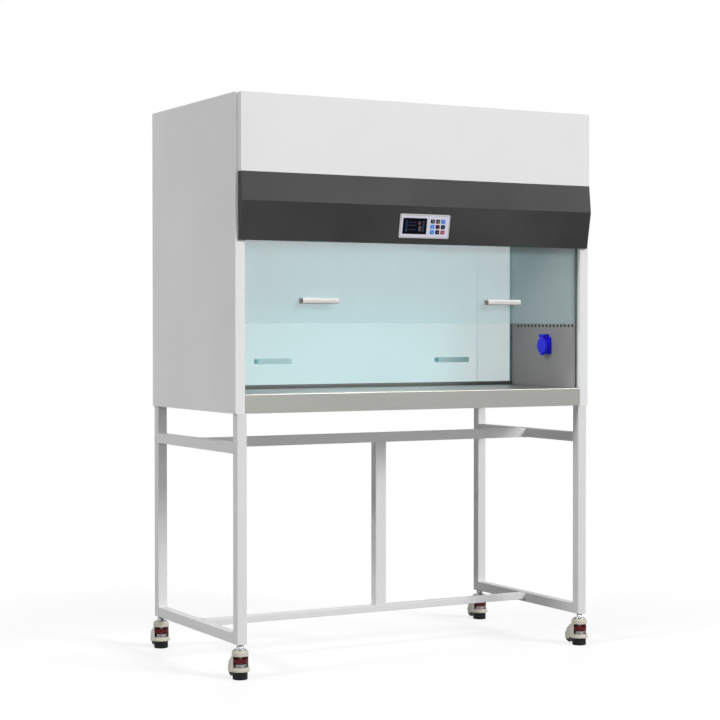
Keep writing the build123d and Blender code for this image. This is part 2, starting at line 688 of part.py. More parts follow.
def all_parts():
    front_top = front_glass_z + front_glass_height
    rear_top = rear_glass_z + rear_glass_height
    front_pull_z = front_glass_z + front_handle_rise
    rear_pull_z = rear_glass_z + rear_handle_rise
    parts = {
        "left_side_panel": side_panel(-1), "right_side_panel": side_panel(1),
        "left_inner_wall": inner_wall(-1), "right_inner_wall": inner_wall(1),
        "sash_channels": sash_channels(), "roof_panel": roof_panel(),
        "front_cover": front_cover(), "fascia": fascia(), "rear_panel": rear_panel(),
        "power_inlet": power_inlet(), "base_pan": base_pan(), "worktop": worktop(),
        "filter_housing": filter_housing(), "hepa_filter": hepa_filter(),
        "diffuser_screen": diffuser_screen(), "pre_filter": pre_filter(),
        "blower_housing": blower_housing(), "blower_wheel": blower_wheel(),
        "blower_motor": blower_motor(), "work_lamp": tube_lamp(lamp_y[0]), "uv_lamp": tube_lamp(lamp_y[1]),
        "control_bezel": control_bezel(), "display_screen": display_screen(),
        "socket_base": socket_base(), "socket_lid": socket_lid(),
        "front_glass": pane(front_glass_y, front_glass_z, front_glass_height),
        "rear_glass": pane(rear_glass_y, rear_glass_z, rear_glass_height),
        "front_handles": handle_pair(front_handle_x, front_glass_y, front_pull_z, -1),
        "rear_handles": handle_pair(rear_handle_x, rear_glass_y, rear_pull_z, 1),
        "front_weights": weights(front_glass_y, front_weight_z),
        "rear_weights": weights(rear_glass_y, rear_weight_z),
        "front_pulleys": pulleys(front_glass_y), "rear_pulleys": pulleys(rear_glass_y),
        "front_ropes": ropes(front_glass_y, front_top, front_weight_z + weight_size[2]),
        "rear_ropes": ropes(rear_glass_y, rear_top, rear_weight_z + weight_size[2]),
        "stand_legs": stand_legs(), "stand_side_rails": stand_side_rails(),
        "stand_centre_frame": stand_centre_frame(), "caster_stems": caster_stems(),
    }
    keys = [(x, y) for y in key_rows for x in key_columns]
    for number, (x, y) in enumerate(keys, start=1):
        parts[f"key_{number}"] = key(x, y)
    corners = {"front_left": (-leg_x, -leg_y), "front_right": (leg_x, -leg_y),
               "rear_left": (-leg_x, leg_y), "rear_right": (leg_x, leg_y)}
    for corner, (x, y) in corners.items():
        parts[f"{corner}_caster_housing"] = caster_housing(x, y)
        parts[f"{corner}_caster_roller"] = caster_roller(x, y)
        parts[f"{corner}_levelling_foot"] = levelling_foot(x, y)
    return parts


os.makedirs("parts", exist_ok=True)
for name, shape in all_parts().items():
    solids = [Pos(0, origin_y, 0) * solid for solid in shape.solids()]
    export_step(Compound(solids) if len(solids) > 1 else solids[0], f"parts/{name}.step")
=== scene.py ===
import bmesh
import bpy
import json
import math
from mathutils import Matrix, Vector


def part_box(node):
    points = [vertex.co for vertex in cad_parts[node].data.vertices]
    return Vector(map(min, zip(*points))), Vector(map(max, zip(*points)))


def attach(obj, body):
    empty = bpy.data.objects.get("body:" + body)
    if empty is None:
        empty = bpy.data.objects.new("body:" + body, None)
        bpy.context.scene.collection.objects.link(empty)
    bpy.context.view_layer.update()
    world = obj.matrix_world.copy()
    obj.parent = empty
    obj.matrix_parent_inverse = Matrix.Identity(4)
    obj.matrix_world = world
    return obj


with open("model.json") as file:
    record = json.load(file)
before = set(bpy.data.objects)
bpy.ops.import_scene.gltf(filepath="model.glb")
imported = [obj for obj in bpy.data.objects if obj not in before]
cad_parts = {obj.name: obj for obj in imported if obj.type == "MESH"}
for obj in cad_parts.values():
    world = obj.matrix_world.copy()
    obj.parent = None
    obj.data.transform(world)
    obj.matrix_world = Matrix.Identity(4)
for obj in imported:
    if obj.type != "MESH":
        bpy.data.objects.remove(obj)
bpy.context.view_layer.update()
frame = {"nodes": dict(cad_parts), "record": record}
nodes = frame["nodes"]
print("frame loaded:", len(nodes), "nodes")


class Wire:
    # one value in a shader; arithmetic on it adds Math nodes
    def __init__(self, finish, socket):
        self.finish = finish
        self.socket = socket

    def math(self, operation, *others):
        return self.finish.node("ShaderNodeMath", {"operation": operation},
                                dict(enumerate((self, *others))))

    def __add__(self, other):
        return self.math("ADD", other)

    def __mul__(self, other):
        return self.math("MULTIPLY", other)

    def __sub__(self, other):
        return self.math("SUBTRACT", other)

    def __truediv__(self, other):
        return self.math("DIVIDE", other)

    def __gt__(self, other):
        return self.math("GREATER_THAN", other)

    def __lt__(self, other):
        return self.math("LESS_THAN", other)

    def __rsub__(self, other):
        return self.finish.node("ShaderNodeMath", {"operation": "SUBTRACT"}, {0: other, 1: self})

    __radd__ = __add__
    __rmul__ = __mul__

    def size(self):  # without its sign
        return self.math("ABSOLUTE")

    def most(self, other):
        return self.math("MAXIMUM", other)

    def spread(self, low, high, toLow=0.0, toHigh=1.0):
        return self.finish.node("ShaderNodeMapRange", {"clamp": True},
                                {0: self, 1: low, 2: high, 3: toLow, 4: toHigh})


class Finish:
    # a material on one Principled shader
    def __init__(self, name, **sockets):
        self.material = bpy.data.materials.new(name)
        self.material.use_nodes = True
        self.tree = self.material.node_tree
        self.shader = self.tree.nodes["Principled BSDF"]
        self.place = self.node("ShaderNodeTexCoord", output="Object")
        for socket, value in sockets.items():
            self.feed(socket.replace("_", " "), value)

    def join(self, socket, value):
        if isinstance(value, Wire):
            self.tree.links.new(value.socket, socket)
        elif hasattr(value, "__len__") and len(value) == 3 and len(socket.default_value) == 4:
            socket.default_value = (*value, 1.0)
        else:
            socket.default_value = value

    def feed(self, name, value):
        self.join(self.shader.inputs[name], value)

    def node(self, kind, settings=None, inputs=None, output=0):
        made = self.tree.nodes.new(kind)
        for name, value in (settings or {}).items():
            setattr(made, name, value)
        for name, value in (inputs or {}).items():
            self.join(made.inputs[name], value)
        return Wire(self, made.outputs[output])

    def blend(self, factor, first, second):
        return self.node("ShaderNodeMix", {"data_type": "RGBA"}, {0: factor, 6: first, 7: second}, 2)

    def part(self, axis, wire=None):
        return self.node("ShaderNodeSeparateXYZ", None, {0: wire or self.place}, axis)

    def noise(self, scale, detail=2.0, stretch=(1.0, 1.0, 1.0)):
        at = self.node("ShaderNodeMapping", None, {"Vector": self.place, "Scale": stretch})
        return self.node("ShaderNodeTexNoise", None, {"Vector": at, "Scale": scale, "Detail": detail})

    def facing(self, axis):
        normal = self.node("ShaderNodeTexCoord", output="Normal")
        return self.part(axis, normal)

    def emboss(self, height, depth, strength):
        bump = self.node("ShaderNodeBump", None,
                         {"Strength": strength, "Distance": depth, "Height": height})
        self.feed("Normal", bump)


def shade(colour, factor):
    return tuple(min(1.0, channel * factor) for channel in colour)


# noise scales of the powder coat and the height of its orange peel
coatPlan = dict(cloud=2.3, speck=900.0, peel=420.0, peelHeight=0.00006)


def powderCoat(name, colour, rough=0.42):
    finish = Finish(name, Specular_IOR_Level=0.3)
    cloud = finish.noise(coatPlan["cloud"], 3.0)
    speck = finish.noise(coatPlan["speck"], 1.0)
    peel = finish.noise(coatPlan["peel"])
    tone = finish.blend(cloud.spread(0.35, 0.7), colour, shade(colour, 0.965))
    tone = finish.blend((speck > 0.74) * 0.25, tone, shade(colour, 0.8))
    finish.feed("Base Color", tone)
    finish.feed("Roughness", cloud.spread(0.3, 0.7, rough - 0.05, rough + 0.06))
    finish.emboss(peel, coatPlan["peelHeight"], 0.5)
    return finish.material


# brushing is noise drawn out along one axis
brushPlan = dict(along=6.0, across=900.0, depth=0.00004)


def brushed(finish, axis):
    stretch = [brushPlan["along" if name == axis else "across"] for name in "xyz"]
    return finish.noise(1.0, 3.0, stretch)


def brushedSteel(name, colour, along="x", rough=0.34, metal=0.85):
    finish = Finish(name, Metallic=metal)
    hair = brushed(finish, along)
    smear = finish.noise(5.0, 3.0)
    tone = finish.blend(hair, shade(colour, 0.93), shade(colour, 1.07))
    finish.feed("Base Color", finish.blend(smear.spread(0.45, 0.75), tone, shade(colour, 0.95)))
    streaks = hair.spread(0.3, 0.7, rough - 0.05, rough + 0.05)
    finish.feed("Roughness", streaks + smear.spread(0.4, 0.8, 0.0, 0.06))
    finish.emboss(hair, brushPlan["depth"], 0.4)
    return finish.material


def spangledZinc(name, colour, cells=70.0):
    finish = Finish(name, Metallic=0.8)
    cell = finish.node("ShaderNodeTexVoronoi", None, {"Vector": finish.place, "Scale": cells}, 1)
    flake = finish.part(0, cell)
    finish.feed("Base Color", finish.blend(flake, shade(colour, 0.86), shade(colour, 1.1)))
    finish.feed("Roughness", flake.spread(0.0, 1.0, 0.36, 0.52))
    return finish.material


def moulded(name, colour, rough=0.4, grain=500.0, depth=0.00004, coat=0.0, shine=0.5):
    finish = Finish(name, Coat_Weight=coat, Coat_Roughness=0.15, Specular_IOR_Level=shine)
    cloud = finish.noise(30.0, 2.0)
    pit = finish.noise(grain, 2.0)
    finish.feed("Base Color", finish.blend(cloud, shade(colour, 0.94), shade(colour, 1.05)))
    finish.feed("Roughness", pit.spread(0.3, 0.7, rough - 0.05, rough + 0.07))
    finish.emboss(pit, depth, 0.5)
    return finish.material


def paneGlass(name, tint, edgeTint, cover):
    # the cut edges are deep green and let nothing through
    finish = Finish(name, IOR=1.5)
    edge = finish.facing(1).size() < 0.6
    smear = finish.noise(4.0, 4.0, (1.0, 1.0, 2.5))
    finish.feed("Base Color", finish.blend(edge, tint, edgeTint))
    finish.feed("Alpha", edge.most(smear.spread(0.35, 0.75, cover, cover + 0.012)))
    finish.feed("Roughness", smear.spread(0.3, 0.8, 0.03, 0.07))
    return finish.material


def pleatedPaper(name, folds=2400.0):
    # folds, ribs and threads are sine waves, in radians for each metre
    finish = Finish(name, Roughness=0.85)
    fold = (finish.part(0) * folds).math("SINE")
    # painted shade: the colour darkens and lightens with the folds of the pleats
    finish.feed("Base Color", finish.blend(fold.spread(-1.0, 1.0), (0.62, 0.62, 0.58), (0.9, 0.9, 0.86)))
    finish.emboss(fold, 0.0004, 0.7)
    return finish.material


def facetShadedCoat(name, upper, shadedLower):
    # the facet that leans down to the worktop is painted darker, painted shade for the lesser light it
    # gets
    finish = Finish(name, Specular_IOR_Level=0.18)
    cloud = finish.noise(coatPlan["cloud"], 3.0)
    peel = finish.noise(coatPlan["peel"])
    # painted shade: faces that point down get the darker colour
    shadedFacet = finish.facing(2) < -0.05
    tone = finish.blend(shadedFacet, upper, shadedLower)
    finish.feed("Base Color", finish.blend(cloud.spread(0.35, 0.7), tone, shade(upper, 0.8)))
    finish.feed("Roughness", cloud.spread(0.3, 0.7, 0.48, 0.58))
    finish.emboss(peel, coatPlan["peelHeight"], 0.5)
    return finish.material


# the holes in each chamber wall, from the front one to the back, and the reach of the painted shade
# round each
suctionRow = dict(height=1.0730, first=-0.2945, pitch=0.0218, count=16.0, rim=0.0054)


def liningSteel(name, chamber, bay):
    # satin in the work chamber with painted shade as a dark ring round each suction hole, bright in the
    # rear bay
    finish = Finish(name)
    bright = finish.part(1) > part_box("rear_glass")[1].y
    hair = brushed(finish, "z")
    smear = finish.noise(4.0, 3.0)
    satin = finish.blend(hair, shade(chamber, 0.92), shade(chamber, 1.08))
    satin = finish.blend(smear.spread(0.45, 0.75), satin, shade(chamber, 0.94))
    pitch = suctionRow["pitch"]
    step = (finish.part(1) - suctionRow["first"]) / pitch + 0.5
    beside = (step - step.math("FLOOR") - 0.5) * pitch
    above = finish.part(2) - suctionRow["height"]
    # painted shade: a dark ring round each hole
    rim = beside * beside + above * above < suctionRow["rim"] ** 2
    rim = rim * (step > 0.0) * (step < suctionRow["count"])
    satin = finish.blend(rim, satin, (0.03, 0.03, 0.03))
    finish.feed("Base Color", finish.blend(bright, satin, bay))
    finish.feed("Metallic", bright.spread(0.0, 1.0, 0.12, 1.0))
    finish.feed("Roughness", (1.0 - bright) * hair.spread(0.3, 0.7, 0.4, 0.5) + 0.1)
    finish.emboss(hair * (1.0 - bright), brushPlan["depth"], 0.4)
    return finish.material


# where the ferrules and the holders start, from the middle of the lamp
lampPlan = dict(ferrule=0.42, holder=0.436)


def lampFinish():
    # opal tube between two grey end holders with bright ferrules
    finish = Finish("opalLampAndHolders")
    out = finish.part(0).size()
    holder = out > lampPlan["holder"]
    ferrule = (out > lampPlan["ferrule"]) * (1.0 - holder)
    tone = finish.blend(ferrule, (0.9, 0.9, 0.9), (0.6, 0.6, 0.6))
    finish.feed("Base Color", finish.blend(holder, tone, (0.55, 0.55, 0.53)))
    finish.feed("Metallic", ferrule * 0.9)
    finish.feed("Roughness", holder.spread(0.0, 1.0, 0.25, 0.5) + finish.noise(200.0) * 0.06)
    return finish.material


# heights above the floor of the foot's rubber pad and thumbwheel
footPlan = dict(padTop=0.0241, wheelLow=0.0505, wheelHigh=0.0635, ribs=4200.0)


def footFinish():
    # rubber pad, zinc collar, dark red thumbwheel, zinc stud
    finish = Finish("levellingFoot", Specular_IOR_Level=0.2)
    height = finish.part(2)
    pad = height < footPlan["padTop"]
    wheel = (height > footPlan["wheelLow"]) * (height < footPlan["wheelHigh"])
    grain = finish.noise(700.0, 2.0)
    ribbed = (height * footPlan["ribs"]).math("SINE")
    metal = finish.blend(grain, (0.2, 0.2, 0.19), (0.32, 0.31, 0.3))
    red = finish.blend(grain, (0.095, 0.006, 0.012), (0.17, 0.012, 0.022))
    tone = finish.blend(wheel, metal, red)
    finish.feed("Base Color", finish.blend(pad, tone, (0.008, 0.008, 0.009)))
    finish.feed("Metallic", (1.0 - pad) * (1.0 - wheel) * 0.9)
    finish.feed("Roughness", pad.spread(0.0, 1.0, 0.3, 0.55) + grain * 0.08)
    finish.emboss(grain * 0.3 + ribbed * (1.0 - pad) * (1.0 - wheel), 0.0002, 0.4)
    return finish.material


def threadedChrome(name, thread=5027.0):
    # scuffed bright steel with painted shade in the grooves of a 1.25 mm thread
    finish = Finish(name, Metallic=1.0)
    turn = (finish.part(2) * thread).math("SINE")
    scuff = finish.noise(260.0, 3.0)
    tone = finish.blend(scuff, (0.3, 0.3, 0.31), (0.62, 0.62, 0.63))
    # painted shade: the grooves of the thread are dark
    finish.feed("Base Color", finish.blend(turn > 0.35, tone, (0.05, 0.05, 0.05)))
    finish.feed("Roughness", scuff.spread(0.3, 0.7, 0.16, 0.3))
    finish.emboss(turn, 0.0003, 0.5)
    return finish.material


finishes = {
    "white_paint": powderCoat("whitePowderCoat", (0.86, 0.86, 0.862)),
    # charcoal fascia, with painted shade on its lower facet
    "grey_black_paint": facetShadedCoat("charcoalPowderCoat", upper=(0.063, 0.063, 0.064),
                                     shadedLower=(0.025, 0.025, 0.026)),
    "stainless": brushedSteel("brushedStainless", (0.3, 0.304, 0.284)),
    "galvanised": spangledZinc("spangledZinc", (0.5, 0.51, 0.53)),
    "aluminium": brushedSteel("satinAluminium", (0.57, 0.555, 0.54), rough=0.4, metal=0.3),
    "blue_plastic": moulded("cobaltPlastic", (0.028, 0.02, 0.98), rough=0.3, depth=0.00002,
                            coat=0.1, shine=0.2),
    "clear_glass": paneGlass("frontPaneGlass", tint=(0.43, 0.645, 0.675),
                             edgeTint=(0.25, 0.5, 0.48), cover=0.185),
    "filter_media": pleatedPaper("pleatedFilterPaper"),
    "lamp_glass": lampFinish(),
    "steel_weight": moulded("blackenedSteel", (0.05, 0.05, 0.05), rough=0.55),
    "nylon": moulded("ivoryNylon", (0.75, 0.73, 0.66), rough=0.45),
    "wire": brushedSteel("strandedWire", (0.5, 0.5, 0.5), "z", rough=0.35),
    "chrome": brushedSteel("brightChrome", (0.72, 0.72, 0.73), "z", rough=0.12, metal=1.0),
    "cream_paint": moulded("ivoryEnamel", (0.62, 0.59, 0.5), rough=0.3, grain=200.0, depth=0.00003,
                           coat=0.3, shine=0.3),
    "black_nylon": moulded("blackNylon", (0.015, 0.015, 0.016), rough=0.45),
    "rubber": footFinish(),
    "black_plastic": moulded("blackPlastic", (0.02, 0.02, 0.022)),
}
greyRubber = moulded("greyRubber", (0.13, 0.135, 0.13), rough=0.6, grain=900.0, depth=0.00003,
                     shine=0.3)
standPaint = powderCoat("standPowderCoat", (0.78, 0.78, 0.785), rough=0.4)
linings = liningSteel("satinLining", chamber=(0.39, 0.36, 0.36), bay=(0.97, 0.97, 0.97))

# nodes that look different from the rest of their slot
ownFinishes = {
    "rear_glass": paneGlass("rearPaneGlass", tint=(0.1, 0.57, 0.61), edgeTint=(0.1, 0.4, 0.38),
                            cover=0.27),
    "rear_handles": brushedSteel("satinPull", (0.93, 0.93, 0.93), rough=0.4, metal=0.1),
    "sash_channels": moulded("satinSashRail", (0.3, 0.3, 0.3), rough=0.45, depth=0.00002, shine=0.3),
    "caster_stems": threadedChrome("threadedChrome"),
    "stand_legs": standPaint,
    "stand_side_rails": standPaint,
    "stand_centre_frame": standPaint,
    "left_inner_wall": linings,
    "right_inner_wall": linings,
}


def dress(name, finish):
    materials = nodes[name].data.materials
    materials.clear()
    materials.append(finish)


for part in frame["record"]["subparts"]:
    if part["material_slot"] in finishes:  # the control panel's slots come further down
        dress(part["node"], finishes[part["material_slot"]])
for name, finish in ownFinishes.items():
    dress(name, finish)
print("finishes on the frame's own nodes")

# control panel finishes, drawn in the panel's own across and up directions
panelPlan = dict(width=0.184, height=0.077, rim=0.0042, groove=0.0008, riseFromMiddle=-0.003,
                 screenAt=(-0.0375, 0.0005),
                 keyColumns=(0.0275, 0.047, 0.0665), keyRows=(0.017, 0.0, -0.017),
                 face=(0.72, 0.71, 0.84), silver=(0.58, 0.57, 0.56))
# the facet that holds it leans out from above the worktop's front edge
facetPlan = dict(lowOut=0.008, lowHeight=1.331, highOut=0.030, highHeight=1.450)
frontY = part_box("worktop")[0].y
slopeLow = Vector((0.0, frontY - facetPlan["lowOut"], facetPlan["lowHeight"]))
slopeHigh = Vector((0.0, frontY - facetPlan["highOut"], facetPlan["highHeight"]))
slopeUp = (slopeHigh - slopeLow).normalized()
panelCentre = (slopeLow + slopeHigh) / 2 + slopeUp * panelPlan["riseFromMiddle"]


def acrossAndUp(finish, centre=(0.0, 0.0)):
    across = finish.part(0) - centre[0]
    risen = finish.node("ShaderNodeVectorMath", {"operation": "DOT_PRODUCT"},
                        {0: finish.place, 1: tuple(slopeUp)}, 1)
    return across, risen - (panelCentre.dot(slopeUp) + centre[1])


def inside(across, up, left, right, low, high):
    return (across > left) * (across < right) * (up > low) * (up < high)


def bezelFinish():
    plan = panelPlan
    finish = Finish("bezelAndFaceplate")
    across, up = acrossAndUp(finish)
    halfWidth = plan["width"] / 2 - plan["rim"]
    halfHeight = plan["height"] / 2 - plan["rim"]
    face = inside(across, up, -halfWidth, halfWidth, -halfHeight, halfHeight)
    outWidth = halfWidth + plan["groove"]
    outHeight = halfHeight + plan["groove"]
    groove = inside(across, up, -outWidth, outWidth, -outHeight, outHeight)
    brush = finish.noise(1.0, 2.0, (8.0, 700.0, 700.0))
    silver = finish.blend(brush, shade(plan["silver"], 0.9), shade(plan["silver"], 1.1))
    tone = finish.blend(groove, silver, (0.2, 0.2, 0.24))
    finish.feed("Base Color", finish.blend(face, tone, plan["face"]))
    finish.feed("Metallic", (1.0 - groove) * 0.6)
    finish.feed("Roughness", face.spread(0.0, 1.0, 0.3, 0.42))
    finish.emboss(face - groove * 0.7, 0.0003, 0.6)
    return finish.material


# what the display shows: left, right, low and high edge from its middle, and the glow
readout = [
    (-0.034, -0.026, -0.018, 0.018, (0.02, 0.035, 0.09)),
    (-0.022, 0.006, 0.010, 0.0125, (0.05, 0.03, 0.10)),
    (-0.022, 0.006, 0.001, 0.0035, (0.06, 0.06, 0.075)),
    (-0.022, 0.006, -0.013, -0.0105, (0.05, 0.05, 0.075)),
    (0.012, 0.022, 0.005, 0.015, (0.16, 0.08, 0.07)),
    (0.014, 0.024, -0.016, 0.001, (0.13, 0.11, 0.15)),
    (0.028, 0.035, -0.018, 0.018, (0.03, 0.06, 0.10)),
    (-0.032, -0.028, -0.016, -0.012, (0.12, 0.14, 0.16)),
]


def displayFinish():
    # dim bars and blocks between two dim columns
    finish = Finish("displayReadout", Roughness=0.3, Specular_IOR_Level=0.03, Emission_Strength=0.7)
    across, up = acrossAndUp(finish, panelPlan["screenAt"])
    tone = (0.001, 0.001, 0.004)
    for left, right, low, high, colour in readout:
        tone = finish.blend(inside(across, up, left, right, low, high), tone, colour)
    finish.feed("Base Color", (0.002, 0.002, 0.004))
    finish.feed("Emission Color", tone)
    return finish.material


def ring(across, up, radius, width):
    reach = (across * across + up * up).math("SQRT")
    return (reach - radius).size() < width / 2


def stroke(across, up, slope, width, half):
    return ((up - across * slope).size() < width / 2) * (across.size() < half)


# the signs on the keys, as masks of the distances across and up from the key's middle
def lampSign(a, u):
    bulb = ring(a, u - 0.0008, 0.0020, 0.0009)
    return bulb.most(inside(a, u, -0.0012, 0.0012, -0.0034, -0.0024))


def powerSign(a, u):
    gap = inside(a, u, -0.0013, 0.0013, 0.001, 0.005)
    bar = inside(a, u, -0.0005, 0.0005, 0.0003, 0.0038)
    return (ring(a, u, 0.0028, 0.0010) * (1.0 - gap)).most(bar)


def crossSign(a, u):
    return stroke(a, u, 0.9, 0.0014, 0.0028).most(stroke(a, u, -0.9, 0.0014, 0.0028))


signs = {
    "lamp": lampSign,
    "power": powerSign,
    "cross": crossSign,
    "up": lambda a, u: ((u + a.size() * 1.2 - 0.0018).size() < 0.0008) * (a.size() < 0.0032),
    "down": lambda a, u: ((u - a.size() * 1.2 + 0.0018).size() < 0.0008) * (a.size() < 0.0032),
    "left": lambda a, u: ((a - u.size() * 1.2 + 0.0020).size() < 0.0009) * (u.size() < 0.0032),
    "dot": lambda a, u: ring(a, u, 0.0, 0.0030),
    "target": lambda a, u: ring(a, u, 0.0040, 0.0014),
    "tick": lambda a, u: stroke(a, u, 0.9, 0.0012, 0.0028),
}
# each key's sign, the colour of its cap and the colour of the sign
keyPlan = {
    "key_1": ("lamp", (0.007, 0.006, 0.014), (0.6, 0.58, 0.7)),
    "key_2": ("power", (0.004, 0.004, 0.006), (0.6, 0.6, 0.6)),
    "key_3": ("up", (0.085, 0.22, 0.72), (0.25, 0.45, 0.85)),
    "key_4": ("left", (0.06, 0.27, 0.8), (0.35, 0.6, 0.9)),
    "key_5": ("target", (0.006, 0.003, 0.004), (0.35, 0.05, 0.08)),
    "key_6": ("tick", (0.006, 0.018, 0.022), (0.3, 0.42, 0.42)),
    "key_7": ("down", (0.05, 0.25, 0.8), (0.3, 0.55, 0.9)),
    "key_8": ("dot", (0.005, 0.004, 0.01), (0.6, 0.6, 0.62)),
    "key_9": ("cross", (0.42, 0.07, 0.13), (0.62, 0.22, 0.3)),
}


def keycapFinish(name, sign, colour, ink, centre):
    finish = Finish(name + "Cap", Specular_IOR_Level=0.06)
    across, up = acrossAndUp(finish, centre)
    mark = signs[sign](across, up)
    pit = finish.noise(900.0, 2.0)
    cap = finish.blend(pit, shade(colour, 0.9), shade(colour, 1.15))
    finish.feed("Base Color", finish.blend(mark, cap, ink))
    finish.feed("Roughness", pit.spread(0.3, 0.7, 0.3, 0.42))
    finish.emboss(pit + mark * 2.0, 0.00004, 0.6)
    return finish.material


def dressPanel():
    dress("control_bezel", bezelFinish())
    dress("display_screen", displayFinish())
    centres = [(x, y) for y in panelPlan["keyRows"] for x in panelPlan["keyColumns"]]
    for (name, (sign, colour, ink)), centre in zip(keyPlan.items(), centres):
        dress(name, keycapFinish(name, sign, colour, ink, centre))


dressPanel()
print("control panel")


def savePiece(name, bm, body, finish, smoothAngle=35.0):
    bmesh.ops.remove_doubles(bm, verts=bm.verts, dist=1e-6)
    bmesh.ops.recalc_face_normals(bm, faces=bm.faces)
    mesh = bpy.data.meshes.new(name)
    bm.to_mesh(mesh)
    bm.free()
    mesh.materials.append(finish)
    mesh.shade_smooth()
    mesh.set_sharp_from_angle(angle=math.radians(smoothAngle))
    piece = bpy.data.objects.new(name, mesh)
    bpy.context.scene.collection.objects.link(piece)
    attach(piece, body)


def addBlock(bm, low, high, ease=0.0):
    # a block between two corners, with its edges eased
    low, high = Vector(low), Vector(high)
    matrix = Matrix.Translation((low + high) / 2) @ Matrix.Diagonal((*(high - low), 1.0))
    made = bmesh.ops.create_cube(bm, size=1.0, matrix=matrix)
    if ease:
        edges = {edge for vert in made["verts"] for edge in vert.link_edges}
        bmesh.ops.bevel(bm, geom=list(edges), offset=ease, affect="EDGES",
                        segments=2, profile=0.5, material=-1)


def turnTo(axis):
    # the turn that takes straight up to the axis
    return Vector((0.0, 0.0, 1.0)).rotation_difference(axis).to_matrix().to_4x4()


def addTurned(bm, profile, centre, axis, steps):
    # profile points are (radius, height) and are spun about the axis through centre
    place = Matrix.Translation(centre) @ turnTo(Vector(axis))
    verts = [bm.verts.new(place @ Vector((radius, 0.0, height))) for radius, height in profile]
    edges = [bm.edges.new(pair) for pair in zip(verts, verts[1:])]
    bmesh.ops.spin(bm, geom=verts + edges, cent=centre, axis=axis, angle=2 * math.pi,
                   steps=steps, use_merge=True)


# weld beads where the stand's tubes meet: sunk into the tubes, short of the leg's outer face
weldPlan = dict(radius=0.0016, sink=0.0005, ripple=0.0016, swell=1.12, sides=8,
                short=0.003, past=0.001, lift=0.002)


def addBead(bm, start, end):
    # a rippled run of weld between two points
    start, end = Vector(start), Vector(end)
    length = (end - start).length
    along = (end - start).normalized()
    ripples = max(6, int(length / weldPlan["ripple"]))
    made = bmesh.ops.create_circle(bm, cap_ends=True, radius=weldPlan["radius"],
                                   segments=weldPlan["sides"],
                                   matrix=Matrix.Translation(start) @ turnTo(along))
    rim = list({edge for vert in made["verts"] for edge in vert.link_edges})
    for step in range(ripples):
        grown = bmesh.ops.extrude_edge_only(bm, edges=rim)["geom"]
        verts = [item for item in grown if isinstance(item, bmesh.types.BMVert)]
        edges = [item for item in grown if isinstance(item, bmesh.types.BMEdge)]
        rim = [edge for edge in edges if all(vert in verts for vert in edge.verts)]
        bmesh.ops.translate(bm, verts=verts, vec=along * length / ripples)
        swell = weldPlan["swell"] if step % 2 == 0 else 1 / weldPlan["swell"]
        middle = sum((vert.co for vert in verts), Vector()) / len(verts)
        bmesh.ops.scale(bm, verts=verts, vec=(swell, swell, swell), space=Matrix.Translation(-middle))
    bmesh.ops.contextual_create(bm, geom=rim)


def weldStand():
    legLow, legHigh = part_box("stand_legs")
    sideLow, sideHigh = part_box("stand_side_rails")
    midLow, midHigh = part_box("stand_centre_frame")
    tube = legHigh.x - midHigh.x
    sink = weldPlan["sink"]
    bm = bmesh.new()
    for side in (-1, 1):
        inner = (legHigh.x - tube) * side
        outEnd = legHigh.x * side - side * weldPlan["short"]
        inEnd = inner + side * weldPlan["past"]
        for y in (sideLow.y, sideHigh.y):
            edge = y + (sink if y < 0 else -sink)
            for bottom in (sideLow.z, sideHigh.z - tube):
                for z in (bottom, bottom + tube):
                    if z > legLow.z + weldPlan["radius"]:
                        addBead(bm, (outEnd, edge, z), (inEnd, edge, z))
                addBead(bm, (inner, edge, bottom + weldPlan["lift"]), (inner, edge, bottom + tube))
        x = midHigh.x * side - side * sink
        for bottom, top in ((midHigh.z - tube, midHigh.z), (midLow.z, sideLow.z + tube)):
            for y in (midLow.y, midHigh.y):
                addBead(bm, (x, y, bottom), (x, y, top))
            for z in (bottom, top):
                addBead(bm, (x, midLow.y, z), (x, midHigh.y, z))
    savePiece("standWelds", bm, "cabinet", standPaint, 60.0)


weldStand()

# soft seal on the foot of the rear pane: two lips and a strip under the glass
sealPlan = dict(height=0.012, lip=0.003, ease=0.0008, endGap=0.0012, lipGap=0.0004,
                stripGap=0.0002, halfStrip=0.0025, grip=0.0001)


def sealRearPane():
    low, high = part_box("rear_glass")
    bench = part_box("worktop")[1]
    middle = (low.y + high.y) / 2
    half = bench.x - sealPlan["endGap"]
    bm = bmesh.new()
    for front in (low.y - sealPlan["lip"], high.y):
        addBlock(bm, (-half, front, bench.z + sealPlan["lipGap"]),
                 (half, front + sealPlan["lip"], bench.z + sealPlan["height"]), sealPlan["ease"])
    addBlock(bm, (-half, middle - sealPlan["halfStrip"], bench.z + sealPlan["stripGap"]),
             (half, middle + sealPlan["halfStrip"], low.z + sealPlan["grip"]))
    savePiece("rearPaneSeal", bm, "rear_sash", greyRubber)


# bright trims on the sides of the rear bay, behind the linings
trimPlan = dict(thick=0.0006, endGap=0.0005, ease=0.0002)


def trimRearBay():
    skinLow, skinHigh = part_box("right_side_panel")
    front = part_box("right_inner_wall")[1].y
    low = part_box("worktop")[1].z + trimPlan["endGap"]
    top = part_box("rear_panel")[0].z - trimPlan["endGap"]
    bm = bmesh.new()
    for side in (-1, 1):
        ends = sorted((side * (skinLow.x - trimPlan["thick"]), side * skinLow.x))
        addBlock(bm, (ends[0], front, low), (ends[1], skinHigh.y, top), trimPlan["ease"])
    savePiece("rearBayTrims", bm, "cabinet", linings)


sealRearPane()
trimRearBay()

# a dark strip behind the row of suction holes in each chamber wall, painted shade for the space behind
# them
holeShadePlan = dict(half=0.009, front=-0.302, back=0.042, near=0.0002, far=0.002, ease=0.0003)


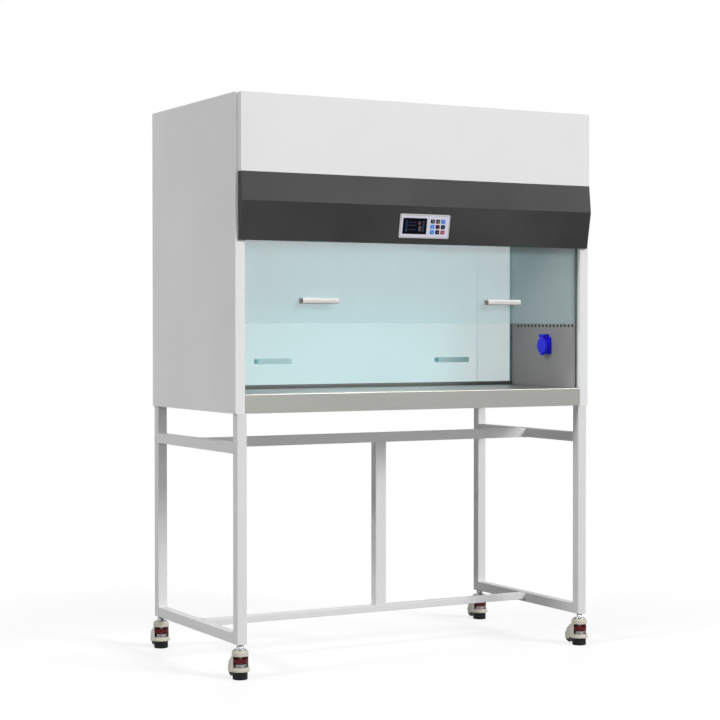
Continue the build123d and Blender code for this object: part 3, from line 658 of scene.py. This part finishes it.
def shadeBehindHoles():
    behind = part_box("right_inner_wall")[1].x
    low = suctionRow["height"] - holeShadePlan["half"]
    high = suctionRow["height"] + holeShadePlan["half"]
    bm = bmesh.new()
    for side in (-1, 1):
        ends = sorted((side * (behind + holeShadePlan["near"]), side * (behind + holeShadePlan["far"])))
        addBlock(bm, (ends[0], holeShadePlan["front"], low), (ends[1], holeShadePlan["back"], high),
                 holeShadePlan["ease"])
    # painted shade: a black strip seen through the holes
    savePiece("suctionHoleShade", bm, "cabinet", finishes["black_nylon"])


shadeBehindHoles()

# pan screws with a round recess, in the rear sheet and the inlet
screwPlan = dict(radius=0.0042, height=0.0021, sink=0.0004, steps=20,
                 rearColumns=7, rearInset=0.014, inletInset=0.007)


def addScrew(bm, at):
    radius, height = screwPlan["radius"], screwPlan["height"]
    side = [(radius, -screwPlan["sink"]), (radius, height * 0.35)]
    dome = [(radius * 0.86, height * 0.75), (radius * 0.55, height)]
    recess = [(radius * 0.5, height), (radius * 0.34, height * 0.5), (0.0, height * 0.4)]
    addTurned(bm, side + dome + recess, at, (0.0, 1.0, 0.0), screwPlan["steps"])


def fastenSheets():
    bm = bmesh.new()
    rearLow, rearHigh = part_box("rear_panel")
    inset = screwPlan["rearInset"]
    columns = screwPlan["rearColumns"]
    for column in range(columns):
        x = rearLow.x + inset + (rearHigh.x - rearLow.x - 2 * inset) * column / (columns - 1)
        for z in (rearLow.z + inset, rearHigh.z - inset):
            addScrew(bm, (x, rearHigh.y, z))
    for side in (-1, 1):
        for share in (1 / 3, 2 / 3):
            z = rearLow.z + (rearHigh.z - rearLow.z) * share
            addScrew(bm, (side * (rearHigh.x - inset), rearHigh.y, z))
    inletLow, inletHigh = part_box("power_inlet")
    for z in (inletLow.z + screwPlan["inletInset"], inletHigh.z - screwPlan["inletInset"]):
        addScrew(bm, ((inletLow.x + inletHigh.x) / 2, inletHigh.y, z))
    savePiece("rearScrews", bm, "cabinet", finishes["chrome"])


fastenSheets()
print("welds, seal, trims, holeShade and screws")

# a pale floor that fades into the white room, and the light of the room
stagePlan = dict(floor=60.0, tone=(0.3, 0.3, 0.3), lift=0.72, fadeFrom=0.9, fadeTo=1.9,
                 roomLight=0.2)


def glowNode(tree, strength):
    glow = tree.nodes.new("ShaderNodeEmission")
    glow.inputs["Strength"].default_value = strength
    return glow


sightRays = ("Camera", "Glossy", "Transmission")  # what is looked at, mirrored or seen through glass


def makeFloor():
    # where it is seen it is lit near the part and fades to white; other rays meet a plain grey
    bm = bmesh.new()
    bmesh.ops.create_grid(bm, x_segments=1, y_segments=1, size=stagePlan["floor"] / 2)
    mesh = bpy.data.meshes.new("studioFloor")
    bm.to_mesh(mesh)
    bm.free()
    floor = bpy.data.objects.new("studioFloor", mesh)
    bpy.context.scene.collection.objects.link(floor)
    finish = Finish("paleFloor", Roughness=1.0, Base_Color=stagePlan["tone"])
    tree = finish.tree
    far = finish.node("ShaderNodeVectorMath", {"operation": "LENGTH"}, {0: finish.place}, 1)
    white = glowNode(tree, 1.0)
    lift = glowNode(tree, stagePlan["lift"])
    seen = tree.nodes.new("ShaderNodeLightPath")
    looks = [Wire(finish, seen.outputs["Is " + kind + " Ray"]) for kind in sightRays]
    sight = looks[0].most(looks[1]).most(looks[2])
    lifted = tree.nodes.new("ShaderNodeAddShader")
    tree.links.new(finish.shader.outputs[0], lifted.inputs[0])
    tree.links.new(lift.outputs[0], lifted.inputs[1])
    fade = tree.nodes.new("ShaderNodeMixShader")
    finish.join(fade.inputs[0], far.spread(stagePlan["fadeFrom"], stagePlan["fadeTo"]))
    tree.links.new(lifted.outputs[0], fade.inputs[1])
    tree.links.new(white.outputs[0], fade.inputs[2])
    choose = tree.nodes.new("ShaderNodeMixShader")
    finish.join(choose.inputs[0], sight)
    tree.links.new(finish.shader.outputs[0], choose.inputs[1])
    tree.links.new(fade.outputs[0], choose.inputs[2])
    tree.links.new(choose.outputs[0], tree.nodes["Material Output"].inputs[0])
    mesh.materials.append(finish.material)


def makeWorld():
    # white to look at, but a weak light
    world = bpy.data.worlds.new("paleRoom")
    bpy.context.scene.world = world
    world.use_nodes = True
    tree = world.node_tree
    soft = tree.nodes["Background"]
    soft.inputs["Strength"].default_value = stagePlan["roomLight"]
    white = tree.nodes.new("ShaderNodeBackground")
    for background in (soft, white):
        background.inputs["Color"].default_value = (1.0, 1.0, 1.0, 1.0)
    seen = tree.nodes.new("ShaderNodeLightPath")
    first = tree.nodes.new("ShaderNodeMath")
    second = tree.nodes.new("ShaderNodeMath")
    first.operation = second.operation = "MAXIMUM"
    ends = (first.inputs[0], first.inputs[1], second.inputs[1])
    for kind, end in zip(sightRays, ends):
        tree.links.new(seen.outputs["Is " + kind + " Ray"], end)
    tree.links.new(first.outputs[0], second.inputs[0])
    mix = tree.nodes.new("ShaderNodeMixShader")
    tree.links.new(second.outputs[0], mix.inputs[0])
    tree.links.new(soft.outputs[0], mix.inputs[1])
    tree.links.new(white.outputs[0], mix.inputs[2])
    tree.links.new(mix.outputs[0], tree.nodes["World Output"].inputs[0])


def sunLamp(name, toLight, strength, angle):
    lamp = bpy.data.lights.new(name, "SUN")
    lamp.energy = strength
    lamp.angle = math.radians(angle)
    holder = bpy.data.objects.new(name, lamp)
    holder.rotation_euler = Vector(toLight).to_track_quat("Z", "Y").to_euler()
    holder.visible_glossy = toLight[1] < 0.0  # the lamp behind leaves no mirror image
    bpy.context.scene.collection.objects.link(holder)


# stands for the light of the work lamp inside the chamber
chamberPlan = dict(size=(0.7, 0.2), watts=4.0, place=(0.0, -0.13, 1.345), tilt=-38.0)


def chamberLamp(plan):
    lamp = bpy.data.lights.new("chamberLamp", "AREA")
    lamp.shape = "RECTANGLE"
    lamp.size, lamp.size_y = plan["size"]
    lamp.energy = plan["watts"]
    holder = bpy.data.objects.new("chamberLamp", lamp)
    holder.location = plan["place"]
    holder.rotation_euler = (math.radians(plan["tilt"]), 0.0, 0.0)
    holder.visible_camera = False
    bpy.context.scene.collection.objects.link(holder)


lamps = {
    "keyLamp": dict(toLight=(0.45, -0.75, 0.48), strength=1.98, angle=20),
    "frontLamp": dict(toLight=(0.05, -1.0, 0.08), strength=0.5, angle=30),
    "sideLamp": dict(toLight=(-0.85, -0.1, 0.5), strength=1.12, angle=10),
    "backLamp": dict(toLight=(0.45, 0.87, 0.15), strength=1.4, angle=30),
}
cameraPlan = dict(sensor=36.0, lens=90.8, place=(-2.9502, -5.3141, 1.0654), yaw=28.74, pitch=-1.01)


def placeCamera(plan):
    lens = bpy.data.cameras.new("frontCamera")
    lens.sensor_width = plan["sensor"]
    lens.lens = plan["lens"]
    camera = bpy.data.objects.new("frontCamera", lens)
    camera.location = plan["place"]
    camera.rotation_euler = (math.radians(90.0 + plan["pitch"]), 0.0, -math.radians(plan["yaw"]))
    bpy.context.scene.collection.objects.link(camera)
    bpy.context.scene.camera = camera


makeFloor()
makeWorld()
for name, plan in lamps.items():
    sunLamp(name, **plan)
chamberLamp(chamberPlan)
placeCamera(cameraPlan)
bpy.context.scene.view_settings.view_transform = "Standard"
print("stage, lamps and camera")
